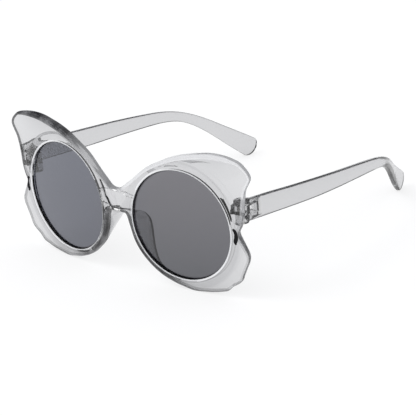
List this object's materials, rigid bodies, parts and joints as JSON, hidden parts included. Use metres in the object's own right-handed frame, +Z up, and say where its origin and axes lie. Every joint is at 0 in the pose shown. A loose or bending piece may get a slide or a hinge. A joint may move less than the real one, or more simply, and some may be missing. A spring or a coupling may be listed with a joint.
{
  "type": "sunglasses",
  "caption": "Oversized sunglasses with a translucent butterfly-wing front, round tinted lenses, moulded nose pads and temples that fold on screw hinges.",
  "frame": {"origin": "middle of the open glasses' box, on the table under them", "axes": "+X towards the wearer's left, +Y backwards along the temples, +Z up; the lenses face -Y"},
  "size_m": [0.1454, 0.1524, 0.0667],
  "materials": {
    "frame_plastic": "polished, translucent",
    "lens_tint": "polished, grey tint",
    "screw_metal": "satin"
  },
  "bodies": {
    "front": {"front": "frame_plastic", "lens_left": "lens_tint", "lens_right": "lens_tint"},
    "temple_left": {"temple_left": "frame_plastic", "hinge_screw_left": "screw_metal"},
    "temple_right": {"temple_right": "frame_plastic", "hinge_screw_right": "screw_metal"}
  },
  "joints": [
    {"name": "fold_left", "type": "hinge", "parent": "front", "child": "temple_left", "pos_m": [0.06283, -0.06118, 0.0419], "axis": [0, 0, 1], "range_deg": [0, 84]},
    {"name": "fold_right", "type": "hinge", "parent": "front", "child": "temple_right", "pos_m": [-0.06283, -0.06118, 0.0419], "axis": [0, 0, -1], "range_deg": [0, 74]}
  ]
}
